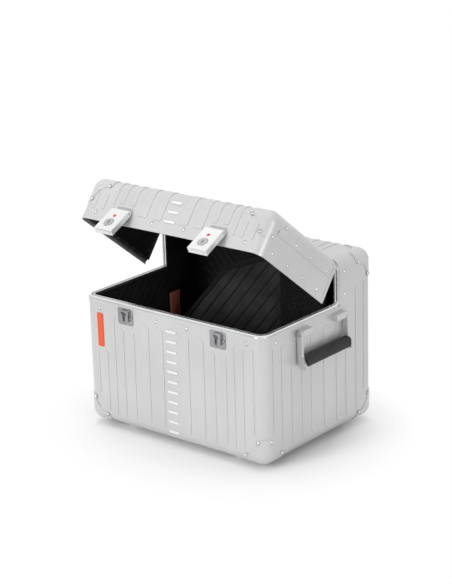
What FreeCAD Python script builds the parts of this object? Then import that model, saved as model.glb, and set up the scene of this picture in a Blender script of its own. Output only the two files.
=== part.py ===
import FreeCAD, Part
import math
import os

os.makedirs("parts", exist_ok=True)
V = FreeCAD.Vector

# Aluminium case with a full-height rear tower and a lid over the front two thirds.
# While modelling, x runs along the front, y from the front face to the rear, z up from the shell bottom.

# Overall shell, in millimetres
case_width = 400.0
case_depth = 309.0
case_height = 309.0
edge_radius = 20.0
sheet = 1.5
lid_height = 81.0
tower_depth = 97.0
closing_gap = 0.4
rim_height = case_height - lid_height
tower_front = case_depth - tower_depth
half = case_width / 2
half_depth = case_depth / 2
flat_half = half - edge_radius

# Pose shown: lid and lock levers stand open
lid_open_deg = 38.0
lever_open_deg = 25.5

# Ribs, marks, caps and rivets
rib_height = 0.8
cap_sheet = 1.2
cap_reach = 49.0
cap_arc_centre = 52.0
cap_arc_radius = 37.0
strip_sheet = 0.9
rivet_radius = 3.5
rivet_dome = 2.0
rivet_row_drop = 14.4
wide_rib = 19.0
middle_rib = 9.0
narrow_rib = 6.0
front_rivets = [half * k for k in (-0.82, -0.175, 0.175, 0.82)]
rib_edge_room = 3.0
rib_span = flat_half - rib_edge_room - narrow_rib / 2
front_ribs = [(rib_span * 0.1667, wide_rib), (rib_span * 0.3534, wide_rib), (rib_span * 0.5201, middle_rib),
              (rib_span * 0.6609, middle_rib), (rib_span * 0.7701, narrow_rib),
              (rib_span * 0.8793, narrow_rib), (rib_span, narrow_rib)]
side_ribs = [(half_depth * 0.1165, wide_rib), (half_depth * 0.317, middle_rib),
             (half_depth * 0.498, middle_rib),
             (half_depth * 0.683, narrow_rib), (half_depth * 0.835, narrow_rib)]
rib_top = rim_height - 23.0
rib_sink = 0.3
rib_keeper_gap = 10.5
tower_rib_gap = 24.0
rear_rib_low = 26.0
seam_room = 6.0
cap_rib_room = 20.0
mark_count = 11
mark_first = rim_height - 25.4
mark_last = 18.8
mark_pitch = (mark_first - mark_last) / (mark_count - 1)
mark_length = 23.0
mark_width = 4.0
mark_height = 1.5
lid_mark_count = 3
lid_mark_drop = 23.0
lid_mark_pitch = 17.7
cap_along = 43.0
cap_in = 15.5
side_rivet_y = 34.0
lid_row_rise = 15.2
strip_reach = 35.5
strip_row_drop = 28.5
lid_side_rivets = [tower_front * k for k in (0.156, 0.396, 0.632, 0.863)]
strip_rivets = [tower_front * k for k in (0.396, 0.632, 0.896)]
tower_rivets = [rim_height + lid_height * k for k in (0.222, 0.716)]
lid_rib_low = rim_height + lid_height * 0.272
lid_rib_low_at_lock = rim_height + lid_height * 0.469
lid_rib_high_at_cap = case_height - lid_height * 0.383

# Rim profile of the body and frame profile of the lid
tongue_gap = 0.6
tongue_width = 8.0
tongue_height = 4.5
groove_width = 3.0
groove_depth = 2.2
web = 1.6
body_web_height = 20.0
gasket_gap = 0.5
gasket_height = 3.0
gasket_width = 7.0
lid_web_height = 16.0
trim = 0.6
trim_width = 7.0

# Hinge
hinge_margin = 20.0
hinge_half = flat_half - hinge_margin
hinge_segments = 8
barrel_radius = 2.4
pin_radius = 1.2
pin_clearance = 0.05
leaf = 1.0
leaf_width = 16.0
knuckle_gap = 0.4
barrel_lift = 0.3
axis_y = tower_front
axis_z = case_height + barrel_radius + barrel_lift

# Locks
lock_from_side = 96.6
lock_x = half - lock_from_side
lever_width = 39.4
lever_length = 56.0
lever_round = 5.5
lever_wall = 2.0
lever_face = 2.2
lever_end = 2.0
lever_edge = 1.4
lock_axis_rise = 20.0
lock_plate = 1.2
lock_plate_reach = 12.0
lock_plate_gap = 0.5
lock_axis_y = -(lock_plate + lock_plate_gap + lever_round)
lock_axis_z = rim_height + lock_axis_rise
lock_pin_radius = 1.6
ear = 2.0
ear_gap = 0.5
lug_gap = 0.5
lug_radius = lever_round - lever_face - lug_gap
key_radius = 9.0
key_gap = 0.35
key_proud = 0.6
key_collar = 2.0
key_collar_depth = 3.0
key_flange = 1.5
key_slot_width = 2.0
key_slot_length = 8.0
key_position = 0.336
dot_radius = 3.0
dot_bore = 1.2
dot_proud = 0.4
dot_sink = 0.6
dot_position = 0.64
button_half = 14.5
button_proud = 1.2
button_inside = 1.2
button_flange = 1.8
button_flange_depth = 2.0
button_travel = 3.0
button_clearance = 0.35

# Keepers and badge
keeper_width = 34.0
keeper_height = 30.0
keeper_sheet = 1.2
keeper_block = 4.0
keeper_drop = 18.5
keeper_z = rim_height - keeper_drop
keeper_corner = 4.0
hook_half = 9.5
hook_low = 6.5
hook_high = 2.5
hook_corner = 3.0
hook_slot = 2.6
hook_mouth = 7.0
hook_floor = 0.6
keeper_rivet_x = 13.2
keeper_rivet_radius = 2.4
keeper_rivet_height = 1.4
rib_top_under_keeper = keeper_z - keeper_height / 2 - rib_keeper_gap
badge_from_side = 35.8
badge_x = -half + badge_from_side
badge_z = rim_height - 54.0
badge_length = 62.0
badge_corner = 2.5
badge_width = 13.0
badge_sheet = 1.2

# Handles
handle_y = half_depth
bracket_length = 27.8
bracket_spacing = 96.0
bracket_depth = 11.5
bracket_low = rim_height - 20.0
bracket_high = rim_height - 9.0
bracket_edge = 2.0
handle_axis_out = 6.6
handle_axis_z = rim_height - 14.0
arm = 5.0
arm_gap = 0.6
arm_top_radius = 5.2
arm_waist = 12.3
arm_flare = 16.0
grip_drop = 53.0
grip_depth = 20.0
grip_high = rim_height - grip_drop
grip_low = grip_high - grip_depth
grip_in = 5.5
grip_out = 20.0
grip_round = 6.8
grip_back_round = 3.0
screw_radius = 2.5
screw_clearance = 0.05
screw_depth = 8.0
screw_head_radius = 4.2
screw_head = 1.8
screw_head_gap = 0.4
screw_slot = 1.2

# Feet
foot_height = 9.0
foot_radius = 18.0
foot_taper = 2.0
foot_from_side = 78.0
foot_x = half - foot_from_side
foot_inset = 40.0
foot_recess_radius = 5.5
foot_recess = 4.0
foot_screw_radius = 5.0
foot_screw_height = 1.6

# Lining
lining_gap = 0.2
lining = 3.4
lining_off = sheet + web + lining_gap
stitch_pitch = 40.0
stitch_width = 1.6
stitch_depth = 1.2
stitch_slope = 48.0
divider_pitch = 25.0
divider_slope = 50.0
floor_top = lining_off + lining
divider_y = tower_front - 12.0
divider = 6.0
divider_split = 80.0
divider_left = -flat_half + 2.0
divider_right = flat_half - 6.0
divider_top = case_height - 17.0
divider_low_drop = 118.0
divider_elbow_drop = 84.0
divider_elbow_in = 53.0
divider_shoulder_in = 161.0
divider_peak_in = 242.0
divider_low = rim_height - divider_low_drop
divider_elbow_x = -half + divider_elbow_in
divider_elbow = rim_height - divider_elbow_drop
divider_shoulder_x = -half + divider_shoulder_in
divider_shoulder = case_height - 48.0
divider_peak_x = -half + divider_peak_in
divider_outline = [(divider_left, floor_top), (divider_left, divider_low), (divider_elbow_x, divider_elbow),
                   (divider_shoulder_x, divider_shoulder), (divider_peak_x, divider_top),
                   (divider_right, divider_top), (divider_right, floor_top)]
binding_width = 8.0
binding_proud = 0.8
tab_y0 = tower_front + 3.0
tab_width = 28.0
tab_high = rim_height - 50.0
tab_length = 108.0
tab_low = tab_high - tab_length
tab_thick = 2.6
tab_off = 2.2
tab_corner = 8.0
loop_rise = 22.0
loop_lap = 2.0
loop_top = 8.0
loop_thick = 2.0

pieces = {}


def block(x0, x1, y0, y1, z0, z1):
    return Part.makeBox(x1 - x0, y1 - y0, z1 - z0, V(x0, y0, z0))


def rounded_case(grow):
    """Outer form of the case, grown or shrunk by a distance."""
    b = block(-half - grow, half + grow, -grow, case_depth + grow, -grow, case_height + grow)
    return b.makeFillet(edge_radius + grow, b.Edges)


def along(solid, axis):
    """Edges of a block that run along one axis."""
    found = []
    for e in solid.Edges:
        a = e.Vertexes[0].Point
        b = e.Vertexes[-1].Point
        d = b - a
        if abs(abs(d.dot(axis)) - d.Length) < 1e-6:
            found.append(e)
    return found


def plan(off, z0, z1):
    """Rounded rectangle of the case in plan, moved inwards by off."""
    b = block(-half + off, half - off, off, case_depth - off, z0, z1)
    return b.makeFillet(edge_radius - off, along(b, V(0, 0, 1)))


def arch(off, y0, y1):
    """Rounded rectangle of the case seen from the front, moved inwards by off."""
    b = block(-half + off, half - off, y0, y1, off, case_height - off)
    return b.makeFillet(edge_radius - off, along(b, V(0, 1, 0)))


def fuse(items):
    out = items[0]
    if len(items) > 1:
        out = out.fuse(items[1:])
    return out.removeSplitter()


def mirror_x(shape):
    return shape.mirror(V(0, 0, 0), V(1, 0, 0))


def drum(radius, length, base, axis):
    return Part.makeCylinder(radius, length, base, axis)


def pad_front(xc, width, z0, z1, y_surface, proud, into):
    """Raised pad with round ends on a face that looks forward."""
    r = width / 2
    y0 = y_surface - proud
    parts = [block(xc - r, xc + r, y0, y_surface + into, z0 + r, z1 - r)]
    for z in (z0 + r, z1 - r):
        parts.append(drum(r, proud + into, V(xc, y0, z), V(0, 1, 0)))
    return fuse(parts)


def pad_side(yc, width, z0, z1, proud, into):
    """Raised pad with round ends on the right side."""
    r = width / 2
    parts = [block(half - into, half + proud, yc - r, yc + r, z0 + r, z1 - r)]
    for z in (z0 + r, z1 - r):
        parts.append(drum(r, proud + into, V(half - into, yc, z), V(1, 0, 0)))
    return fuse(parts)


def pad_across(xc, length, width, zc, y_surface, proud, into):
    """Short raised mark that lies across the front."""
    r = width / 2
    y0 = y_surface - proud
    run = length / 2 - r
    parts = [block(xc - run, xc + run, y0, y_surface + into, zc - r, zc + r)]
    for x in (xc - run, xc + run):
        parts.append(drum(r, proud + into, V(x, y0, zc), V(0, 1, 0)))
    return fuse(parts)


def rivet(point, normal, cutter=None):
    """Domed rivet head on a face, shaped underneath by what it sits on."""
    ball = (rivet_radius ** 2 + rivet_dome ** 2) / (2 * rivet_dome)
    head = Part.makeSphere(ball, point + normal * (rivet_dome - ball))
    lower = drum(rivet_radius, rivet_dome + 0.5, point, normal)
    dome = head.common(lower)
    if cutter is None:
        return dome
    foot = drum(rivet_radius, 2.5, point - normal * 2.5, normal)
    return fuse([foot, dome]).cut(cutter)


outer = rounded_case(0)
inner = rounded_case(-sheet)
shell = outer.cut(inner)
rib_skin = rounded_case(rib_height).cut(outer)
cap_form = rounded_case(cap_sheet)
cap_skin = cap_form.cut(outer)
big = 600.0

# Space of the body and space of the closed lid
low_zone = block(-big, big, -big, big, -big, rim_height)
tower_zone = block(-big, big, tower_front, big, -big, big)
body_zone = fuse([low_zone, tower_zone])
lid_low = rim_height + closing_gap
lid_rear = tower_front - closing_gap
lid_zone = block(-big, big, -big, lid_rear - 1.0, lid_low + 1.0, big)

# Body sheets
body_shell = shell.common(body_zone)
wrap = body_shell.common(block(-flat_half, flat_half, -big, big, -big, big))
front_pads = []
for centre, width in front_ribs:
    top = rib_top
    if abs(centre - lock_x) < keeper_width / 2 + width / 2 + 1:
        top = rib_top_under_keeper
    low = edge_radius
    if centre > flat_half - cap_reach / 2 - seam_room:
        low = cap_reach / 2 + 2
    if centre > flat_half - cap_in:
        low = cap_reach + seam_room
    for side in (-1, 1):
        high = top
        if side < 0 and abs(side * centre - badge_x) < badge_width:
            high = badge_z - badge_length / 2 - 4
        front_pads.append(pad_front(side * centre, width, low, high, 0, rib_height, rib_sink))
for i in range(mark_count):
    front_pads.append(pad_across(0, mark_length, mark_width, mark_first - i * mark_pitch, 0, mark_height,
                                 rib_sink))
wrap = wrap.fuse(front_pads)
back_slabs = []
for centre, width in front_ribs:
    low = rear_rib_low
    if centre > half - cap_reach - narrow_rib:
        low = cap_reach + seam_room
    for side in (-1, 1):
        x = side * centre
        high = big
        if centre > half - cap_reach - narrow_rib:
            high = case_height - cap_reach - seam_room
        back_slabs.append(block(x - width / 2, x + width / 2, tower_front + tower_rib_gap, big, low, high))
wrap = wrap.fuse(rib_skin.common(Part.makeCompound(back_slabs)).Solids)
pieces["body_wrap_sheet"] = wrap.removeSplitter()

side_pads = []
for offset, width in side_ribs:
    for side in (-1, 1):
        yc = handle_y + side * offset
        top = rib_top
        if yc > tower_front + tower_rib_gap:
            top = case_height - cap_reach - seam_room
        if abs(abs(yc - handle_y) - bracket_spacing / 2) < bracket_length / 2 + width / 2 + 1:
            top = bracket_low - 3
        low = edge_radius
        if half_depth - offset - width / 2 < cap_reach - cap_rib_room:
            low = cap_reach + seam_room
        side_pads.append(pad_side(yc, width, low, top, rib_height, rib_sink))
right_pan = body_shell.common(block(flat_half, big, -big, big, -big, big)).fuse(side_pads).removeSplitter()
pieces["right_side_pan"] = right_pan
pieces["left_side_pan"] = mirror_x(right_pan)

# Rim profile round the front and sides, with a grooved tongue above a web inside the sheet
tongue_in = sheet + tongue_gap
tongue_end = tower_front - tongue_height
rim_web = plan(sheet, rim_height - body_web_height, rim_height).cut(
    plan(sheet + web, rim_height - body_web_height - 1, rim_height + 1))
rim_web = rim_web.common(block(-big, big, -big, tower_front, -big, big))
rim_top = rim_height + tongue_height
groove_off = tongue_in + (tongue_width - groove_width) / 2
tongue = plan(tongue_in, rim_height, rim_top).cut(plan(tongue_in + tongue_width, rim_height - 1, rim_top + 1))
groove = plan(groove_off, rim_top - groove_depth, rim_top + 1).cut(
    plan(groove_off + groove_width, rim_top - groove_depth - 1, rim_top + 2))
tongue = tongue.cut(groove).common(block(-big, big, -big, tongue_end, -big, big))
pieces["body_rim_profile"] = fuse([rim_web, tongue])

# Frame profile up the tower edges and across its top
tower_tongue = arch(tongue_in, tongue_end, tower_front).cut(
    arch(tongue_in + tongue_width, tongue_end - 1, tower_front + 1))
tower_groove = arch(groove_off, tongue_end - 1, tongue_end + groove_depth).cut(
    arch(groove_off + groove_width, tongue_end - 2, tongue_end + groove_depth + 1))
tower_web = arch(sheet, tower_front, tower_front + body_web_height).cut(
    arch(sheet + web, tower_front - 1, tower_front + body_web_height + 1))
above_rim = block(-big, big, -big, big, rim_height, big)
pieces["tower_frame_profile"] = fuse([tower_tongue.cut(tower_groove), tower_web]).common(above_rim)

# Edge trims outside the sheets
rim_trim = plan(-trim, rim_height - trim_width, rim_height).cut(plan(0, rim_height - trim_width - 1,
                                                                     rim_height + 1))
rim_trim = rim_trim.common(block(-big, big, -big, tower_front + trim_width, -big, big))
keeper_room = []
for x in (-lock_x, lock_x):
    reach = keeper_width / 2 + 0.3
    keeper_room.append(block(x - reach, x + reach, -big, 5, -big, keeper_z + keeper_height / 2 + 0.3))
rim_trim = rim_trim.cut(Part.makeCompound(keeper_room))
tower_trim = arch(-trim, tower_front, tower_front + trim_width).cut(
    arch(0, tower_front - 1, tower_front + trim_width + 1)).common(above_rim)
hinge_space = block(-hinge_half - 1, hinge_half + 1, -big, big, case_height - 5, big)
pieces["body_edge_trims"] = Part.makeCompound([rim_trim] + tower_trim.cut(hinge_space).Solids)


def corner_cap(sx, front, low):
    """Pressed cap over one corner, with a concave seam on each of its three faces."""
    x0 = half - cap_reach if sx > 0 else -big
    x1 = big if sx > 0 else -half + cap_reach
    y0 = -big if front else case_depth - cap_reach
    y1 = cap_reach if front else big
    z0 = -big if low else case_height - cap_reach
    z1 = cap_reach if low else big
    cx = sx * (half - cap_arc_centre)
    cy = cap_arc_centre if front else case_depth - cap_arc_centre
    cz = cap_arc_centre if low else case_height - cap_arc_centre
    cap = cap_skin.common(block(x0, x1, y0, y1, z0, z1))
    cap = cap.cut(drum(cap_arc_radius, 3 * big, V(cx, -big, cz), V(0, 1, 0)))
    cap = cap.cut(drum(cap_arc_radius, 3 * big, V(-big, cy, cz), V(1, 0, 0)))
    cap = cap.cut(drum(cap_arc_radius, 3 * big, V(cx, cy, -big), V(0, 0, 1)))
    return cap


def cap_rivets(sx, front, low):
    """Six rivets of one corner cap, two on each face."""
    sy = -1 if front else 1
    sz = -1 if low else 1
    fy = 0.0 if front else case_depth
    fz = 0.0 if low else case_height
    rivets = []
    for a, b in ((cap_along, cap_in), (cap_in, cap_along)):
        rivets.append((V(sx * (half - a), fy + sy * cap_sheet, fz - sz * b), V(0, sy, 0)))
        rivets.append((V(sx * (half + cap_sheet), fy - sy * a, fz - sz * b), V(sx, 0, 0)))
    return [rivet(p, n, cap_form) for p, n in rivets]


base_caps = []
tower_caps = []
body_cap_rivets = []
for sx in (-1, 1):
    base_caps += [corner_cap(sx, True, True), corner_cap(sx, False, True)]
    tower_caps.append(corner_cap(sx, False, False))
    body_cap_rivets += cap_rivets(sx, True, True) + cap_rivets(sx, False, True) + cap_rivets(sx, False, False)
pieces["base_corner_caps"] = Part.makeCompound(base_caps)
pieces["tower_corner_caps"] = Part.makeCompound(tower_caps)
pieces["body_cap_rivets"] = Part.makeCompound(body_cap_rivets)

# Rivets that hold the rim and tower profiles
row_z = rim_height - rivet_row_drop
body_rivets = [rivet(V(x, 0, row_z), V(0, -1, 0)) for x in front_rivets]
for side in (-1, 1):
    body_rivets.append(rivet(V(side * half, side_rivet_y, row_z), V(side, 0, 0)))
    for z in tower_rivets:
        body_rivets.append(rivet(V(side * half, tower_front + rivet_row_drop, z), V(side, 0, 0)))
pieces["body_rivets"] = Part.makeCompound(body_rivets)

# Feet and their screws
feet = []
screws = []
for x in (-foot_x, foot_x):
    for y in (foot_inset, case_depth - foot_inset):
        cone = Part.makeCone(foot_radius - foot_taper, foot_radius, foot_height, V(x, y, -foot_height),
                             V(0, 0, 1))
        recess = drum(foot_recess_radius, foot_recess, V(x, y, -foot_height), V(0, 0, 1))
        feet.append(cone.cut(recess))
        head_z = -foot_height + foot_recess - foot_screw_height
        screws.append(Part.makeCone(foot_screw_radius * 0.8, foot_screw_radius, foot_screw_height,
                                    V(x, y, head_z), V(0, 0, 1)))
pieces["feet"] = Part.makeCompound(feet)
pieces["foot_screws"] = Part.makeCompound(screws)

# Lock keepers on the body front
keepers = []
keeper_rivets = []
for x in (-lock_x, lock_x):
    z0 = keeper_z - keeper_height / 2
    z1 = keeper_z + keeper_height / 2
    front = -keeper_sheet - keeper_block
    plate = block(x - keeper_width / 2, x + keeper_width / 2, -keeper_sheet, 0, z0, z1)
    plate = plate.makeFillet(keeper_corner, along(plate, V(0, 1, 0)))
    hook = block(x - hook_half, x + hook_half, front, -keeper_sheet, z0 + hook_low, z1 - hook_high)
    hook = hook.makeFillet(hook_corner, along(hook, V(0, 1, 0)))
    slot = block(x - hook_slot, x + hook_slot, front - 1, -hook_floor, z0 - 1, keeper_z + hook_slot)
    mouth_z = z1 - hook_high - hook_corner
    corners = [V(x - hook_slot, 0, keeper_z), V(x + hook_slot, 0, keeper_z), V(x + hook_mouth, 0, mouth_z),
               V(x - hook_mouth, 0, mouth_z)]
    funnel = Part.Face(Part.makePolygon(corners + corners[:1])).extrude(V(0, front - 1, 0))
    funnel.translate(V(0, -hook_floor, 0))
    keepers.append(fuse([plate, hook]).cut(slot).cut(funnel))
    for dx in (-keeper_rivet_x, keeper_rivet_x):
        keeper_rivets.append(drum(keeper_rivet_radius, keeper_rivet_height,
                                  V(x + dx, -keeper_sheet, keeper_z), V(0, -1, 0)))
pieces["lock_keepers"] = Part.makeCompound(keepers)
pieces["keeper_rivets"] = Part.makeCompound(keeper_rivets)

# Plain badge
badge = block(badge_x - badge_width / 2, badge_x + badge_width / 2, -badge_sheet, 0,
              badge_z - badge_length / 2, badge_z + badge_length / 2)
pieces["front_badge"] = badge.makeFillet(badge_corner, along(badge, V(0, 1, 0)))

# Hinge: two leaves with alternating knuckles round one pin
segment = 2 * hinge_half / hinge_segments
bore = pin_radius + pin_clearance


def leaf_with_knuckles(first, sy):
    y0 = axis_y + (1.0 if sy > 0 else -leaf_width)
    y1 = axis_y + (leaf_width if sy > 0 else -1.0)
    plate = block(-hinge_half, hinge_half, y0, y1, case_height, case_height + leaf)
    gaps = []
    barrels = []
    for i in range(hinge_segments):
        x0 = -hinge_half + i * segment
        if i % 2 == first:
            barrels.append(drum(barrel_radius, segment - knuckle_gap, V(x0 + knuckle_gap / 2, axis_y, axis_z),
                                V(1, 0, 0)))
        else:
            gaps.append(block(x0 - knuckle_gap / 2, x0 + segment + knuckle_gap / 2,
                              axis_y - barrel_radius - 0.5,
                              axis_y + barrel_radius + 0.5, case_height - 1, case_height + leaf + 1))
    plate = plate.cut(Part.makeCompound(gaps))
    plate = plate.fuse(barrels)
    return plate.cut(drum(bore, 2 * hinge_half + 2, V(-hinge_half - 1, axis_y, axis_z),
                          V(1, 0, 0))).removeSplitter()


pieces["hinge_body_leaf"] = leaf_with_knuckles(0, 1)
lid_leaf = leaf_with_knuckles(1, -1)
pieces["hinge_pin"] = drum(pin_radius, 2 * hinge_half, V(-hinge_half, axis_y, axis_z), V(1, 0, 0))

# Lid pieces, built closed
lid = {}
lid["hinge_lid_leaf"] = lid_leaf
lid_shell = shell.common(lid_zone)
lid_wrap = lid_shell.common(block(-flat_half, flat_half, -big, big, -big, big))
lid_slabs = []
lid_rib_end = tower_front - tower_rib_gap
for centre, width in front_ribs:
    low = lid_rib_low
    if abs(centre - lock_x) < lever_width / 2 + width / 2:
        low = lid_rib_low_at_lock
    for side in (-1, 1):
        x = side * centre
        x0 = x - width / 2
        x1 = x + width / 2
        if centre > half - cap_reach - narrow_rib:
            lid_slabs.append(block(x0, x1, -big, edge_radius / 2, low, lid_rib_high_at_cap))
            lid_slabs.append(block(x0, x1, cap_reach + seam_room, lid_rib_end,
                                   case_height - edge_radius / 2, big))
        else:
            lid_slabs.append(block(x0, x1, -big, lid_rib_end, low, big))
lid_pads = list(rib_skin.common(Part.makeCompound(lid_slabs)).Solids)
for i in range(lid_mark_count):
    z = case_height - lid_mark_drop - i * lid_mark_pitch
    lid_pads.append(pad_across(0, mark_length, mark_width, z, 0, mark_height, rib_sink))
lid["lid_wrap_sheet"] = lid_wrap.fuse(lid_pads).removeSplitter()
lid_right = lid_shell.common(block(flat_half, big, -big, big, -big, big))
lid["lid_right_side_sheet"] = lid_right
lid["lid_left_side_sheet"] = mirror_x(lid_right)
strip = rounded_case(strip_sheet).cut(outer).common(
    block(flat_half, big, cap_reach / 2 + 2, lid_rear - trim_width - 2, case_height - strip_reach, big))
cap_zone = corner_cap(1, True, False)
strip = max(strip.cut(cap_zone).Solids, key=lambda s: s.Volume)
lid["lid_edge_strips"] = Part.makeCompound([strip, mirror_x(strip)])

lid_ledge = rim_top + gasket_gap + gasket_height
rear_ledge = tongue_end - gasket_gap - gasket_height
lower_end = block(-big, big, -big, rear_ledge - web, -big, big)
ledge = plan(sheet, lid_ledge, lid_ledge + web).cut(plan(sheet + 9, lid_ledge - 1, lid_ledge + web + 1))
lid_web = plan(sheet, lid_ledge, lid_ledge + lid_web_height).cut(
    plan(sheet + web, lid_ledge - 1, lid_ledge + lid_web_height + 1))
lid["lid_lower_frame"] = fuse([ledge, lid_web]).common(lower_end)
rear = arch(sheet, rear_ledge - web, rear_ledge).cut(arch(sheet + 9, rear_ledge - web - 1, rear_ledge + 1))
rear_web = arch(sheet, rear_ledge - lid_web_height, rear_ledge).cut(
    arch(sheet + web, rear_ledge - lid_web_height - 1, rear_ledge + 1))
above_ledge = block(-big, big, -big, big, lid_ledge, big)
above_web = block(-big, big, -big, big, lid_ledge + lid_web_height, big)
lid["lid_rear_frame"] = fuse([rear.common(above_ledge), rear_web.common(above_web)])


gasket_off = sheet + 0.9
seal_low = lid_ledge - gasket_height
seal = plan(gasket_off, seal_low, lid_ledge).cut(plan(gasket_off + gasket_width, seal_low - 1, lid_ledge + 1))
seal_valley = plan(gasket_off + 2.4, seal_low - 1, seal_low + 1.4).cut(
    plan(gasket_off + gasket_width - 2.4, seal_low - 2, seal_low + 2))
lower_seal = seal.cut(seal_valley).common(block(-big, big, -big, rear_ledge - web, -big, big))
seal_rear = rear_ledge + gasket_height
rear_seal = arch(gasket_off, rear_ledge, seal_rear).cut(
    arch(gasket_off + gasket_width, rear_ledge - 1, seal_rear + 1))
rear_valley = arch(gasket_off + 2.4, seal_rear - 1.4, seal_rear + 1).cut(
    arch(gasket_off + gasket_width - 2.4, seal_rear - 2, seal_rear + 2))
rear_seal = rear_seal.cut(rear_valley).common(above_ledge)
lid["lid_gaskets"] = Part.makeCompound([lower_seal, rear_seal])

lower_trim = plan(-trim, lid_low, lid_low + trim_width).cut(plan(0, lid_low + 1.0, lid_low + trim_width + 1))
lower_trim = lower_trim.cut(plan(sheet, lid_low - 1, lid_low + trim_width + 1))
lower_trim = lower_trim.common(block(-big, big, -big, lid_rear, -big, big))
rear_trim = arch(-trim, lid_rear - trim_width, lid_rear).cut(arch(0, lid_rear - trim_width - 1,
                                                                  lid_rear - 1.0))
rear_trim = rear_trim.cut(arch(sheet, lid_rear - trim_width - 1, lid_rear + 1))
rear_trim = rear_trim.common(block(-big, big, -big, big, lid_low + trim_width, big)).cut(hinge_space)
lid["lid_edge_trims"] = Part.makeCompound([lower_trim] + rear_trim.Solids)

lid["lid_corner_caps"] = Part.makeCompound([corner_cap(-1, True, False), corner_cap(1, True, False)])
lid["lid_cap_rivets"] = Part.makeCompound(cap_rivets(-1, True, False) + cap_rivets(1, True, False))
lid_row = rim_height + lid_row_rise
lid_rivets = [rivet(V(x, 0, lid_row), V(0, -1, 0)) for x in front_rivets]
for side in (-1, 1):
    for y in lid_side_rivets:
        lid_rivets.append(rivet(V(side * half, y, lid_row), V(side, 0, 0)))
    for y in strip_rivets:
        lid_rivets.append(rivet(V(side * (half + strip_sheet), y, case_height - strip_row_drop),
                                V(side, 0, 0)))
lid["lid_rivets"] = Part.makeCompound(lid_rivets)

# Locks on the lid, built closed
lock_brackets = []
lock_pins = []
levers = {}
buttons = {}
keys = {}
lever_top = lock_axis_z + lever_round
lever_low = lever_top - lever_length
face_y = lock_axis_y - lever_round
back_y = lock_axis_y + lever_round
inside_half = lever_width / 2 - lever_wall
for side, label in ((-1, "left"), (1, "right")):
    x = side * lock_x
    base = block(x - inside_half + 1, x + inside_half - 1, -lock_plate, 0, lock_axis_z - lock_plate_reach,
                 lock_axis_z + lock_plate_reach)
    ears = []
    for s in (-1, 1):
        ex = x + s * (inside_half - ear_gap - ear / 2)
        lug = drum(lug_radius, ear, V(ex - ear / 2, lock_axis_y, lock_axis_z), V(1, 0, 0))
        stem = block(ex - ear / 2, ex + ear / 2, lock_axis_y, -lock_plate, lock_axis_z - lug_radius,
                     lock_axis_z + lug_radius)
        ears += [lug, stem]
    pin_bore = drum(lock_pin_radius + pin_clearance, lever_width + 2,
                    V(x - lever_width / 2 - 1, lock_axis_y, lock_axis_z), V(1, 0, 0))
    lock_brackets.append(fuse([base] + ears).cut(pin_bore))
    pin_inset = 0.2
    lock_pins.append(drum(lock_pin_radius, lever_width - 2 * pin_inset,
                          V(x - lever_width / 2 + pin_inset, lock_axis_y, lock_axis_z), V(1, 0, 0)))

    # Lever: a hollow cover with a curved top end and a closed lower end
    body = block(x - lever_width / 2, x + lever_width / 2, face_y, back_y, lever_low, lock_axis_z)
    body = body.fuse(drum(lever_round, lever_width, V(x - lever_width / 2, lock_axis_y, lock_axis_z),
                          V(1, 0, 0)))
    body = body.removeSplitter()
    face_edges = [e for e in along(body, V(0, 0, 1)) if e.Vertexes[0].Point.y < face_y + 1e-3]
    body = body.makeFillet(lever_edge, face_edges)
    hollow = block(x - inside_half, x + inside_half, face_y + lever_face, back_y + 1, lever_low + lever_end,
                   lever_top + 1)
    key_z = lever_low + key_position * lever_length
    dot_z = lever_low + dot_position * lever_length
    key_well = drum(key_radius + key_gap, 2 * lever_round + 4, V(x, face_y - 2, key_z), V(0, 1, 0))
    dot_well = drum(dot_radius, dot_sink + 1, V(x, face_y - 1, dot_z), V(0, 1, 0))
    button_y0 = face_y + lever_face + button_clearance
    button_y1 = lock_axis_y + button_inside
    window = block(x - button_half - button_clearance, x + button_half + button_clearance,
                   face_y + lever_face,
                   button_y1 + button_clearance, lever_low - 1, lever_low + lever_end + 1)
    lever = body.cut(hollow).cut(key_well).cut(dot_well).cut(window).cut(pin_bore)
    collar = drum(key_radius + key_collar, key_collar_depth, V(x, face_y + lever_face, key_z), V(0, 1, 0))
    levers["lock_%s_lever" % label] = lever.fuse(collar.cut(key_well)).removeSplitter()
    ring = drum(dot_radius, dot_sink + dot_proud, V(x, face_y - dot_proud, dot_z), V(0, 1, 0))
    levers["lock_%s_dot" % label] = ring.cut(drum(dot_bore, 1, V(x, face_y - 1, dot_z), V(0, 1, 0)))
    flange_y = face_y + lever_face + key_collar_depth + key_gap
    key = drum(key_radius, flange_y - face_y + key_proud, V(x, face_y - key_proud, key_z), V(0, 1, 0))
    key = key.cut(block(x - key_slot_width / 2, x + key_slot_width / 2, face_y - 1, face_y + lever_face,
                        key_z - key_slot_length / 2, key_z + key_slot_length / 2))
    rear_flange = drum(key_radius + key_flange, 1.0, V(x, flange_y, key_z), V(0, 1, 0))
    keys["lock_%s_key" % label] = fuse([key, rear_flange])

    # Release in the lower end, held by a flange behind the end wall
    flange_z = lever_low + lever_end + button_clearance
    push = block(x - button_half, x + button_half, button_y0, button_y1, lever_low - button_proud, flange_z)
    stop = block(x - button_half - button_flange, x + button_half + button_flange, button_y0, button_y1,
                 flange_z, flange_z + button_flange_depth)
    buttons["lock_%s_release" % label] = fuse([push, stop])

lid["lock_brackets"] = Part.makeCompound(lock_brackets)
lid["lock_pins"] = Part.makeCompound(lock_pins)

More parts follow.
